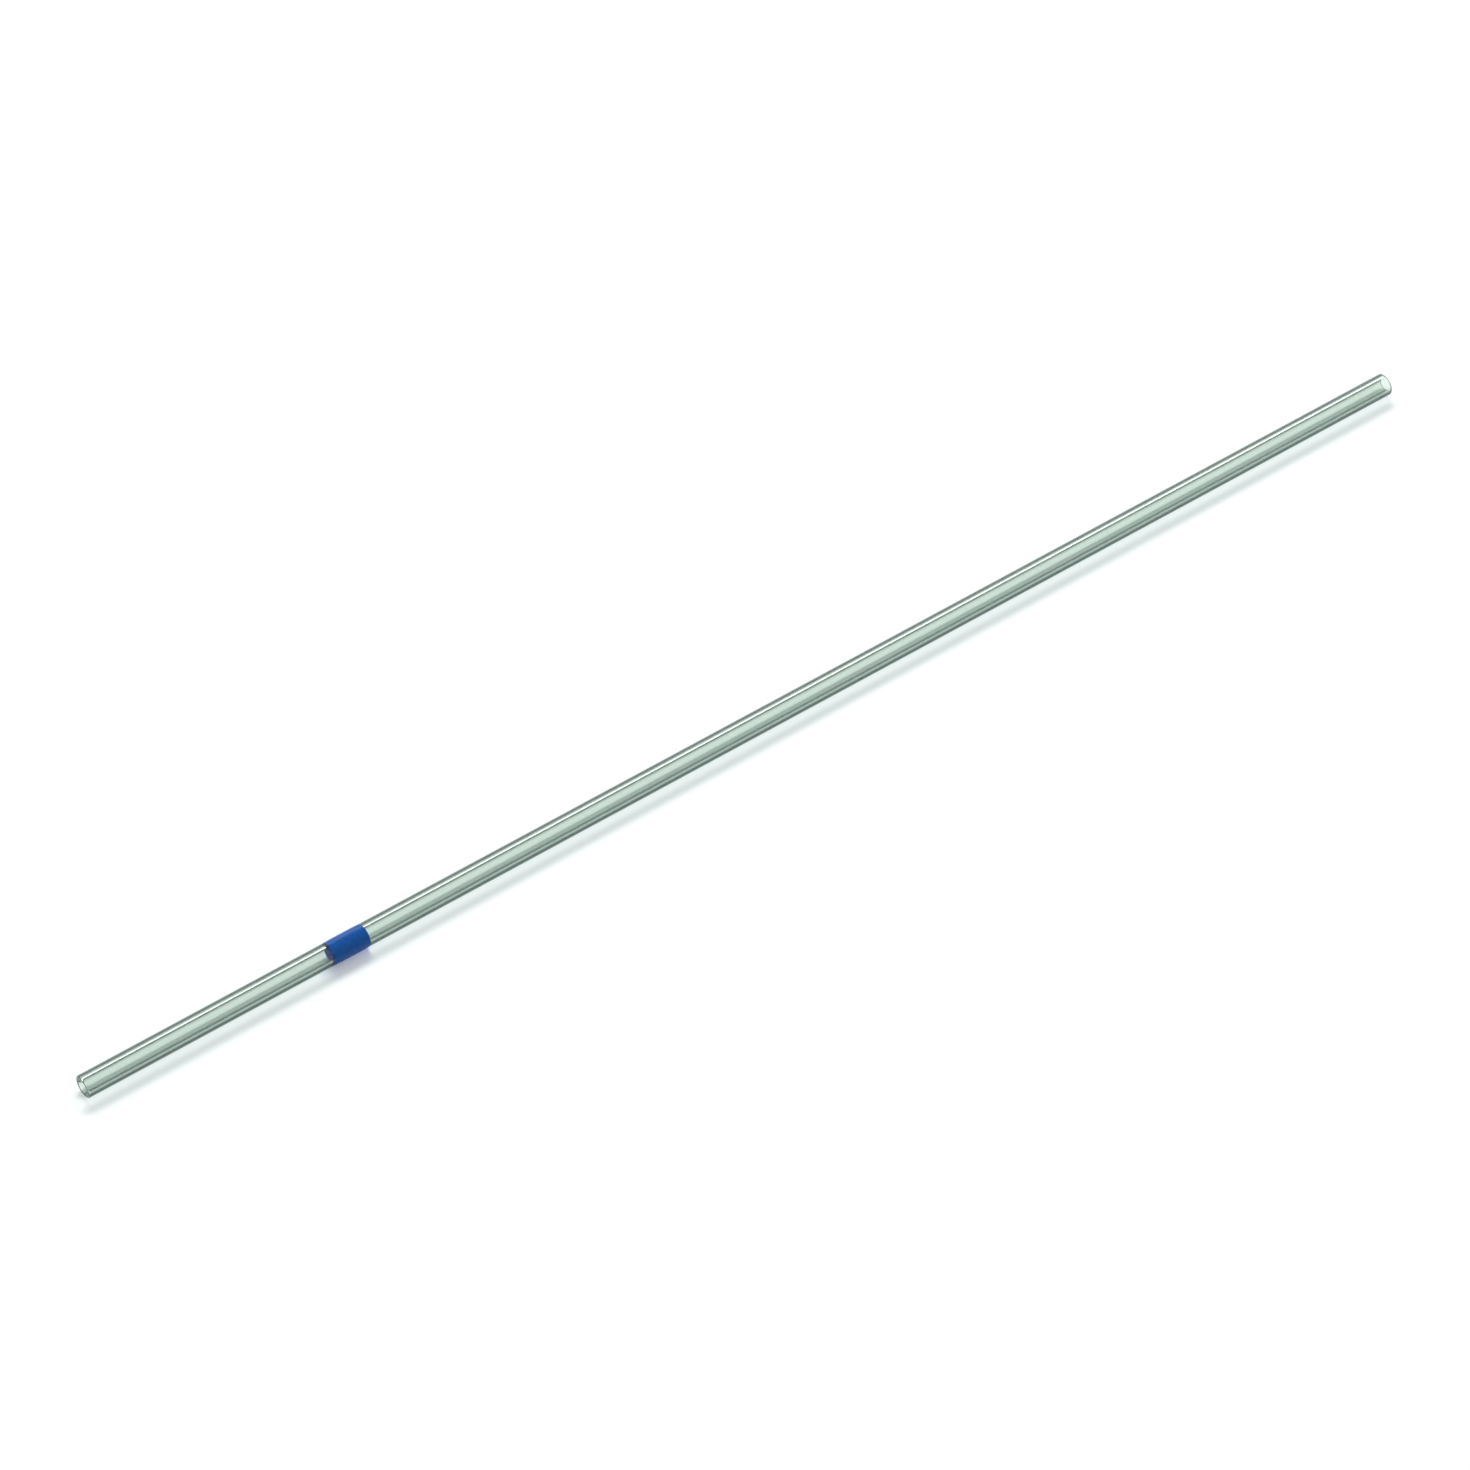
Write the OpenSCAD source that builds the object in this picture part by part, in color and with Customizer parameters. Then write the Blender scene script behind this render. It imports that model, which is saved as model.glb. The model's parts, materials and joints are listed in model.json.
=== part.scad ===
// Glass capillary tube of the ring-mark kind, a disposable micropipette of 100 microlitres.
// It lies along X. Its plain end, which goes into a holder or a suction ball, is at -X,
// and the end that dips into the liquid is at +X. The lowest line of the colour band is at z = 0.
// A tube filled from its tip to the near edge of the band holds the stated volume:
// a bore of 1.128 mm over 100 mm is 100 cubic millimetres.

/* [Glass tube] */
// Length from end to end
tube_l = 125; // [108:1:160]
// Outside diameter of the glass
tube_od = 1.9; // [1.4:0.05:3]
// Diameter of the bore
bore_d = 1.128; // [0.3:0.002:1.5]
// Radius that the flame leaves on the inner and outer edges of both ends
end_round = 0.14; // [0.02:0.01:0.18]

/* [Colour band] */
// Distance from the tip to the near edge of the band, which is the mark of the full volume
mark_l = 100; // [20:1:118]
// Width of the band along the tube
band_w = 3.2; // [1:0.1:8]
// Thickness of the fused enamel at the middle of the band
enamel_t = 0.03; // [0.01:0.005:0.06]

/* [Hidden] */

tube_r = tube_od / 2;
bore_r = bore_d / 2;
wall = tube_r - bore_r;
axis_z = tube_r + enamel_t;

// The flame can round no more of a rim than its wall has
rim_share = 0.45;
rim_r = min(end_round, rim_share * wall);

// Distance of the band's far edge from the plain end
band_from_end = tube_l - mark_l - band_w;

round_sides = 96;
rim_sides = 32;
arch_steps = 12;

// Turns a shape that stands on the XY plane to lie along X, from the plain end to the tip
module lying() {
    translate([-tube_l / 2, 0, axis_z])
        rotate([0, 90, 0])
            children();
}

// A strip with round corners: w across and l along
module rounded_strip(w, l, r) {
    translate([0, r])
        square([w, l - 2 * r]);
    translate([r, 0])
        square([w - 2 * r, l]);
    for (x = [r, w - r], y = [r, l - r])
        translate([x, y])
            circle(r = r, $fn = rim_sides);
}

// Drawn glass with one straight bore through it and flame-polished ends
module glass_tube() {
    color([0.80, 0.87, 0.85, 0.45])
        lying()
            rotate_extrude($fn = round_sides)
                translate([bore_r, 0])
                    rounded_strip(wall, tube_l, rim_r);
}

// The section of the enamel, from the face of the glass outwards.
// Wet enamel draws itself into a shallow arch across the band.
module enamel_section() {
    polygon([
        for (i = [0:arch_steps])
            let (u = 2 * i / arch_steps - 1)
                [enamel_t * (1 - u * u), band_w * (1 + u) / 2]
    ]);
}

// Blue enamel printed round the glass and fused to it
module colour_band() {
    color([0.05, 0.18, 0.66])
        lying()
            translate([0, 0, band_from_end])
                rotate_extrude($fn = round_sides)
                    translate([tube_r, 0])
                        enamel_section();
}

glass_tube();
colour_band();
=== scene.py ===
"""Looks of a glass capillary tube of 100 microlitres: a clear drawn tube with a fused blue colour band."""
import json
import math

import bpy
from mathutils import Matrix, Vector


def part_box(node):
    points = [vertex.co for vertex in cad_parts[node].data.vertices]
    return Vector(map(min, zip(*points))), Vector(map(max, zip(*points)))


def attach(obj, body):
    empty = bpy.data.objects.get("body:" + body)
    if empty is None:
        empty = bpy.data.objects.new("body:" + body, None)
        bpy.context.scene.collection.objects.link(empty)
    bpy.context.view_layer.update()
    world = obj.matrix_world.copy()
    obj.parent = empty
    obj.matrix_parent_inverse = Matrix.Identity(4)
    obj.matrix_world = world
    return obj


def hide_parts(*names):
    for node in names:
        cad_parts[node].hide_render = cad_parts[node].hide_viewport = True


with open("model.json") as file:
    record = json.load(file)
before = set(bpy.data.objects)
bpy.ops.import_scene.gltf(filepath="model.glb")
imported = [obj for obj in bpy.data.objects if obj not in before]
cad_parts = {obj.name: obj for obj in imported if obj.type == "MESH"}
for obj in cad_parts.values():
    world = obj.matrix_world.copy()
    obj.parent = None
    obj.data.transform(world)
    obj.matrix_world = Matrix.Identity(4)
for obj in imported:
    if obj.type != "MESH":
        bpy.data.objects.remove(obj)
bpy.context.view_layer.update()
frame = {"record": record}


# --- Glass tube ---------------------------------------------------------------------------
# One length of clear borosilicate glass, drawn down hot from a wide tube, so its walls are
# smooth but never quite even from end to end. It was scored and snapped to length, and both
# cut ends were rounded in a flame. It lies on its side and nothing holds it.
MM = 0.001

mounts = {mount["name"]: mount for mount in frame["record"]["mounts"]}
bore_r = mounts["bore"]["dims"]["r_mm"] * MM
tube_r = mounts["outer_wall"]["dims"]["r_mm"] * MM
axis_z = mounts["bore"]["pos_m"][2]
tube_low, tube_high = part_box("glass_tube")


class Wire:
    """A value that runs through a node tree. Each operator adds the Math node that works it out."""

    def __init__(self, tree, socket):
        self.tree = tree
        self.socket = socket

    def out(self, name):
        """Another output of the same node."""
        return Wire(self.tree, self.socket.node.outputs[name])

    def xyz(self):
        """The three numbers of a place."""
        numbers = self.tree.add("ShaderNodeSeparateXYZ", None, self)
        return numbers.out("X"), numbers.out("Y"), numbers.out("Z")

    def math(self, operation, *values):
        return self.tree.add("ShaderNodeMath", {"operation": operation}, *values)

    def __add__(self, other):
        return self.math("ADD", self, other)

    def __radd__(self, other):
        return self.math("ADD", other, self)

    def __sub__(self, other):
        return self.math("SUBTRACT", self, other)

    def __rsub__(self, other):
        return self.math("SUBTRACT", other, self)

    def __mul__(self, other):
        return self.math("MULTIPLY", self, other)

    def __rmul__(self, other):
        return self.math("MULTIPLY", other, self)

    def __truediv__(self, other):
        return self.math("DIVIDE", self, other)

    def __rtruediv__(self, other):
        return self.math("DIVIDE", other, self)

    def __pow__(self, other):
        return self.math("POWER", self, other)

    def __abs__(self):
        return self.math("ABSOLUTE", self)

    def __gt__(self, other):
        return self.math("GREATER_THAN", self, other)

    def __lt__(self, other):
        return self.math("LESS_THAN", self, other)

    def sign(self):
        return self.math("SIGN", self)

    def over(self, start, end):
        """0 at start, 1 at end, smooth between them and level past them."""
        settings = {"interpolation_type": "SMOOTHSTEP"}
        return self.tree.add("ShaderNodeMapRange", settings, self, start, end)

    def within(self, low, high):
        return self.tree.add("ShaderNodeClamp", None, self, low, high)


class Tree:
    """Adds nodes to a shader tree or a geometry tree."""

    def __init__(self, node_tree):
        self.nodes = node_tree.nodes
        self.links = node_tree.links

    def add(self, kind, settings=None, *values, **named):
        """Adds one node: first its settings, then its inputs in order, then inputs by name."""
        node = self.nodes.new(kind)
        for name, setting in (settings or {}).items():
            setattr(node, name, setting)
        inputs = [socket for socket in node.inputs if socket.enabled]
        pairs = list(zip(inputs, values))
        for name, value in named.items():
            label = name.replace("_", " ")
            pairs.append((next(socket for socket in inputs if socket.name == label), value))
        for socket, value in pairs:
            if isinstance(value, Wire):
                self.links.new(value.socket, socket)
            else:
                socket.default_value = value
        outputs = [socket for socket in node.outputs if socket.enabled]
        return Wire(self, outputs[0]) if outputs else None


def grown(name, plan, sizes):
    """Runs a Geometry Nodes plan with these sizes and returns its result as one plain mesh piece."""
    kinds = {float: "NodeSocketFloat", int: "NodeSocketInt", bpy.types.Material: "NodeSocketMaterial"}
    group = bpy.data.node_groups.new(name, "GeometryNodeTree")
    sockets = group.interface
    sockets.new_socket("Geometry", in_out="OUTPUT", socket_type="NodeSocketGeometry")
    keys = {}
    for label, value in sizes.items():
        socket = sockets.new_socket(label, in_out="INPUT", socket_type=kinds[type(value)])
        keys[label] = socket.identifier
    tree = Tree(group)
    first = tree.add("NodeGroupInput")
    shape = plan(tree, {label: first.out(label) for label in sizes})
    shape = tree.add("GeometryNodeRealizeInstances", None, shape)
    shape = tree.add("GeometryNodeSetMaterial", None, shape, Material=first.out("Material"))
    tree.links.new(shape.socket, tree.nodes.new("NodeGroupOutput").inputs[0])

    piece = bpy.data.objects.new(name, bpy.data.meshes.new(name))
    bpy.context.scene.collection.objects.link(piece)
    modifier = piece.modifiers.new(name, "NODES")
    modifier.node_group = group
    for label, value in sizes.items():
        modifier[keys[label]] = value
    shaped = piece.evaluated_get(bpy.context.evaluated_depsgraph_get())
    mesh = bpy.data.meshes.new_from_object(shaped)
    piece.modifiers.remove(modifier)
    piece.data = mesh
    return piece


def vector(tree, x, y, z):
    return tree.add("ShaderNodeCombineXYZ", None, x, y, z)


def noise(tree, place, size, detail=2.0):
    """Soft noise from 0 to 1 with lumps of about this size."""
    return tree.add("ShaderNodeTexNoise", None, Vector=place, Scale=1 / size, Detail=detail)


def cut_along(tree, section, shortest, cuts):
    """Cuts each side of a section that is longer than shortest into a row of short ones."""
    corner = tree.add("GeometryNodeInputPosition")
    following = tree.add("GeometryNodeOffsetPointInCurve", None, Offset=1).out("Point Index")
    next_corner = tree.add(
        "GeometryNodeFieldAtIndex", {"data_type": "FLOAT_VECTOR"}, Index=following, Value=corner
    )
    side = tree.add("ShaderNodeVectorMath", {"operation": "DISTANCE"}, corner, next_corner)
    return tree.add("GeometryNodeSubdivideCurve", None, section, (side > shortest) * cuts)


def turned(tree, section, radius, sides):
    """Turns a section about Z, with its middle at this radius."""
    circle = tree.add("GeometryNodeCurvePrimitiveCircle", {"mode": "RADIUS"}, sides, Radius=radius)
    return tree.add("GeometryNodeCurveToMesh", None, circle, section)


def moved(tree, shape, x, y, z):
    """Moves each point of a shape to this place."""
    return tree.add("GeometryNodeSetPosition", None, shape, Position=vector(tree, x, y, z))


def laid_along_x(tree, ring, height):
    """Lays a ring that was turned about Z down along X, at this height, and shades it smooth."""
    x, y, z = tree.add("GeometryNodeInputPosition").xyz()
    ring = moved(tree, ring, z, x, y + height)
    return tree.add("GeometryNodeSetShadeSmooth", None, ring)


def drawn_tube(tree, size):
    """The wall's section, rounded at both ends and turned about the bore."""
    length, outer, bore = size["Length"], size["Outer radius"], size["Bore radius"]
    rim = size["Rim radius"]
    section = tree.add(
        "GeometryNodeCurvePrimitiveQuadrilateral", {"mode": "RECTANGLE"}, outer - bore, length
    )
    section = tree.add(
        "GeometryNodeFilletCurve", {"mode": "POLY"}, section, Count=size["Rim steps"], Radius=rim
    )

    # Rings along the two long sides only, which crowd towards the rims.
    section = cut_along(tree, section, outer, size["Rings"])
    across, along, _ = tree.add("GeometryNodeInputPosition").xyz()
    straight = length * 0.5 - rim
    share = along / straight
    inner = share.within(-1.0, 1.0)
    crowded = (1.5 * inner - 0.5 * inner**3.0 + share - inner) * straight
    section = moved(tree, section, across, crowded, 0.0)
    wall = turned(tree, section, (outer + bore) * 0.5, size["Sides"])

    # The drawing left the wall a few thousandths of a millimetre thin here and there, and the
    # snapped ends were never quite square.
    x, y, along = tree.add("GeometryNodeInputPosition").xyz()
    round_x, round_y = x / outer, y / outer
    waves = vector(tree, round_x, round_y, along / size["Wave length"] + size["Seed"])
    thinned = 1.0 - noise(tree, waves, 1.0) * size["Wave depth"] / outer
    snap = vector(tree, round_x, round_y, along / length + size["Seed"])
    bitten = noise(tree, snap, 1.4, 3.0) * size["End bite"]
    near_end = (length * 0.5 - abs(along)).over(rim * 4.0, 0.0)
    cut_back = along - along.sign() * bitten * near_end
    wall = moved(tree, wall, x * thinned, y * thinned, cut_back)
    return laid_along_x(tree, wall, size["Axis height"])


def coloured(name):
    """A new material that uses nodes, emptied of them, and the tree to fill."""
    material = bpy.data.materials.new(name)
    material.use_nodes = True
    material.node_tree.nodes.clear()
    return material, Tree(material.node_tree)


def blended(tree, share, first, second):
    """One colour that turns into another as share goes from 0 to 1."""
    return tree.add("ShaderNodeMix", {"data_type": "RGBA"}, share, first, second)


def layered(tree, share, first, second):
    """One shader that turns into another as share goes from 0 to 1."""
    return tree.add("ShaderNodeMixShader", None, share, first, second)


def off_axis(across, up):
    """The distance from a centre line, from the two distances square to it."""
    return (across**2.0 + up**2.0) ** 0.5


def drawn_glass():
    """Clear glass with a faint green tint, and a painted dark outline and dark line at each bore edge."""
    glass, tree = coloured("clear_glass")
    x, y, z = tree.add("ShaderNodeTexCoord").out("Object").xyz()

    # How squarely a ray meets the wall, with its slant along the tube taken out.
    facing = 1.0 - tree.add("ShaderNodeLayerWeight", None, 0.5).out("Facing")
    tube_way = vector(tree, 1.0, 0.0, 0.0)
    lengthways = 1.0 - tree.add("ShaderNodeLayerWeight", None, 0.5, tube_way).out("Facing")
    square_on = facing / (1.001 - lengthways**2.0) ** 0.5

    # Painted shade: the colour darkens at the outline and at the bore's two edges, which bend
    #     # the light behind them away, so that they show dark.
    bore_margin = 0.03 * MM
    on_bore = off_axis(y, z - axis_z) < bore_r + bore_margin
    painted_outline_shade = square_on.over(0.88, 0.6)
    painted_bore_shade = square_on.over(1.0, 0.55)
    painted_shade = painted_outline_shade + on_bore * (painted_bore_shade - painted_outline_shade)
    tint_with_painted_shade = blended(tree, painted_shade, (0.81, 0.873, 0.825, 1.0), (0.02, 0.036, 0.028, 1.0))

    # Faint smudges and finer lines, both stretched along the tube.
    stretch = 24.0
    streaks = vector(tree, x / stretch, y, z)
    smudge = noise(tree, streaks, 0.9 * MM, 4.0).over(0.5, 0.8)
    lines = noise(tree, streaks, 0.12 * MM, 3.0)
    relief = tree.add("ShaderNodeBump", None, Strength=0.02, Distance=0.01 * MM, Height=lines)
    wall = tree.add(
        "ShaderNodeBsdfPrincipled",
        None,
        tint_with_painted_shade,
        Roughness=0.01 + 0.05 * smudge,
        IOR=1.473,
        Transmission_Weight=1.0,
        Normal=relief,
    )

    # Light that was mirrored inside the wall leaves it straight, tinted by its long way there. The
    # light of the shadow and of the table goes straight through too, dimmed towards the outline.
    piped = tree.add("ShaderNodeBsdfTransparent", None, (0.67, 0.77, 0.72, 1.0))
    clear = tree.add("ShaderNodeBsdfTransparent", None, (0.945, 0.97, 0.962, 1.0))
    dim = tree.add("ShaderNodeBsdfTransparent", None, (0.16, 0.24, 0.235, 1.0))
    through = layered(tree, square_on.over(0.9, 0.4), clear, dim)
    rays = tree.add("ShaderNodeLightPath")
    surface = layered(tree, rays.out("Is Reflection Ray"), wall, piped)
    surface = layered(tree, rays.out("Is Diffuse Ray"), surface, through)
    surface = layered(tree, rays.out("Is Shadow Ray"), surface, through)
    tree.add("ShaderNodeOutputMaterial", None, surface)
    return glass


tube = grown(
    "glass_capillary",
    drawn_tube,
    {
        "Length": tube_high.x - tube_low.x,
        "Outer radius": tube_r,
        "Bore radius": bore_r,
        "Axis height": axis_z,
        "Rim radius": 0.14 * MM,
        "Rim steps": 8,
        "Rings": 110,
        "Sides": 112,
        "Wave length": 16.0 * MM,
        "Wave depth": 0.003 * MM,
        "End bite": 0.06 * MM,
        "Seed": 3.0,
        "Material": drawn_glass(),
    },
)
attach(tube, "root")
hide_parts("glass_tube")


# --- Colour band --------------------------------------------------------------------------
# A ring of cobalt-blue glass enamel that a wheel rolled on and a kiln fused to the tube. Its
# colour tells the volume, and its edge nearer the tip is the mark to fill to. The paste left
# it thicker in the middle, thin and slightly ragged at both edges.
band_low, band_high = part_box("colour_band")
sunk = 0.006 * MM
# The enamel stays this far inside the room that its solid takes.
hair = 0.001 * MM


def rolled_band(tree, size):
    """A strip with an arched outer face, turned about the tube. Its inner face is in the glass."""
    width, outer, depth = size["Width"], size["Glass radius"], size["Sunk"]
    section = tree.add("GeometryNodeCurvePrimitiveQuadrilateral", {"mode": "RECTANGLE"}, depth, width)
    section = cut_along(tree, section, depth * 2.0, size["Rings"])
    mid_radius = outer - depth * 0.5
    ring = turned(tree, section, mid_radius, size["Sides"])

    x, y, along = tree.add("GeometryNodeInputPosition").xyz()
    round_x, round_y = x / outer, y / outer
    share = along / (width * 0.5)
    edge = vector(tree, round_x, round_y, share + size["Seed"])
    ragged = (noise(tree, edge, 0.22, 4.0) - 0.5) * size["Raggedness"] * 2.0
    shift = share * abs(share) ** 3.0 * ragged
    radius = off_axis(x, y)
    outer_face = (radius > mid_radius) * 1.0
    uneven = 0.8 + 0.2 * noise(tree, vector(tree, round_x, round_y, along / width), 0.5, 3.0)
    arch = (1.0 - abs(share) ** 4.0) * uneven * size["Thickness"] * outer_face
    swollen = (radius + arch) / radius
    ring = moved(tree, ring, x * swollen, y * swollen, along + shift)
    ring = laid_along_x(tree, ring, size["Axis height"])
    centre = vector(tree, size["Centre"], 0.0, 0.0)
    return tree.add("GeometryNodeTransform", None, ring, Translation=centre)


def fused_enamel():
    """Glossy blue enamel, mottled and finely grained, with painted light where it is seen through glass.
    """
    enamel, tree = coloured("blue_enamel")
    place = tree.add("ShaderNodeTexCoord").out("Object")
    _, y, z = place.xyz()
    mottle = noise(tree, place, 0.35 * MM, 5.0)
    grain = noise(tree, place, 0.03 * MM)
    blue = blended(tree, mottle.over(0.25, 0.75), (0.001, 0.06, 0.26, 1.0), (0.002, 0.08, 0.35, 1.0))
    blue = blended(tree, grain.over(0.45, 0.75) * 0.25, blue, (0.01, 0.12, 0.5, 1.0))
    # Painted light: the inner face, seen only through the glass, gets a brighter blue for the light the
    # glass carries to it.
    inner_face_painted_light = off_axis(y, z - axis_z) < tube_r - sunk / 2
    blue = blended(tree, inner_face_painted_light, blue, (0.02, 0.16, 0.75, 1.0))
    pits = noise(tree, place, 0.06 * MM, 3.0)
    relief = tree.add("ShaderNodeBump", None, Strength=0.2, Distance=0.01 * MM, Height=pits)
    coat = tree.add(
        "ShaderNodeBsdfPrincipled",
        None,
        blue,
        Roughness=0.14 + 0.14 * mottle,
        Specular_IOR_Level=0.3,
        Specular_Tint=(0.5, 0.74, 1.0, 1.0),
        Normal=relief,
    )

    # The coat is thin, so its shadow is a pale blue one.
    through = tree.add("ShaderNodeBsdfTransparent", None, (0.1, 0.25, 0.55, 1.0))
    shadow = tree.add("ShaderNodeLightPath").out("Is Shadow Ray")
    tree.add("ShaderNodeOutputMaterial", None, layered(tree, shadow, coat, through))
    return enamel


band = grown(
    "colour_band_enamel",
    rolled_band,
    {
        "Width": band_high.x - band_low.x,
        "Centre": (band_high.x + band_low.x) / 2,
        "Glass radius": tube_r,
        "Thickness": axis_z - tube_r - hair,
        "Sunk": sunk,
        "Raggedness": 0.05 * MM,
        "Axis height": axis_z,
        "Rings": 48,
        "Sides": 160,
        "Seed": 7.0,
        "Material": fused_enamel(),
    },
)
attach(band, "root")
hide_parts("colour_band")


# --- Studio -------------------------------------------------------------------------------
# A white table in soft light from all round, with two soft boxes behind the tube. The camera
# looks down on it from in front, from the side of its banded end.
bpy.context.scene.view_settings.view_transform = "Standard"
middle = Vector((0.0, 0.0, axis_z))
white = (1.0, 1.0, 1.0, 1.0)


def in_view(tree):
    """1 where the camera looks, straight or by way of the glass, and 0 where light only falls."""
    rays = tree.add("ShaderNodeLightPath")
    looks = rays.out("Is Camera Ray") + rays.out("Is Glossy Ray") + rays.out("Is Transmission Ray")
    return looks.within(0.0, 1.0)


def white_table():
    """A pale card that keeps the shadow, lifted to white where it is in view, and plain white far out."""
    material, tree = coloured("white_floor")
    seen = in_view(tree)
    place = tree.add("ShaderNodeTexCoord").out("Object")
    distance = tree.add("ShaderNodeVectorMath", {"operation": "LENGTH"}, place)
    card = tree.add("ShaderNodeBsdfDiffuse", None, (0.81, 0.833, 0.832, 1.0))
    lift = tree.add("ShaderNodeEmission", None, white, seen * 0.22)
    near = tree.add("ShaderNodeAddShader", None, card, lift)
    far = tree.add("ShaderNodeEmission", None, white, 1.0)
    surface = layered(tree, distance.over(0.1, 0.35) * seen, near, far)
    tree.add("ShaderNodeOutputMaterial", None, surface)
    return material


bpy.ops.mesh.primitive_plane_add(size=12.0, location=(0.0, 0.0, 0.0))
floor = bpy.context.object
floor.name = "floor"
floor.data.materials.append(white_table())

world = bpy.data.worlds.new("studio")
bpy.context.scene.world = world
world.use_nodes = True
world.node_tree.nodes.clear()
tree = Tree(world.node_tree)
soft = tree.add("ShaderNodeBackground", None, (0.93, 0.985, 0.985, 1.0), 0.5)
backdrop = tree.add("ShaderNodeBackground", None, white, 1.0)
tree.add("ShaderNodeOutputWorld", None, layered(tree, in_view(tree), soft, backdrop))


def looking(from_point, at_point):
    """The turn that points a lamp or a camera from one point at another."""
    return (at_point - from_point).to_track_quat("-Z", "Y").to_euler()


def soft_box(name, place, width, height, power):
    """A rectangular lamp that faces the tube from here."""
    light = bpy.data.lights.new(name, "AREA")
    light.shape = "RECTANGLE"
    light.size, light.size_y = width, height
    light.energy = power
    lamp = bpy.data.objects.new(name, light)
    bpy.context.scene.collection.objects.link(lamp)
    lamp.location = place
    lamp.rotation_euler = looking(Vector(place), middle)
    return lamp


# The key casts the shadow. It isn't mirrored, because so bright an image would sparkle in the glass,
# and a dimmer box further back draws the long highlight instead.
key = soft_box("key", (0.4, 0.7, 1.0), 0.8, 0.3, 12.5)
key.visible_glossy = key.visible_transmission = False
sheen = soft_box("sheen", (0.4, 0.95, 0.64), 0.8, 0.4, 2.4)
sheen.visible_diffuse = sheen.visible_transmission = False

azimuth, elevation = math.radians(-36.0), math.radians(48.0)
level = math.cos(elevation)
to_camera = Vector((math.sin(azimuth) * level, -math.cos(azimuth) * level, math.sin(elevation)))
camera_distance = 0.49
aim = middle - Vector((3.0 * MM, 0.0, 0.0))
camera = bpy.data.objects.new("camera", bpy.data.cameras.new("camera"))
bpy.context.scene.collection.objects.link(camera)
camera.location = aim + to_camera * camera_distance
camera.rotation_euler = looking(camera.location, aim)
camera.data.lens = 155.0
camera.data.clip_start = 0.01
bpy.context.scene.camera = camera
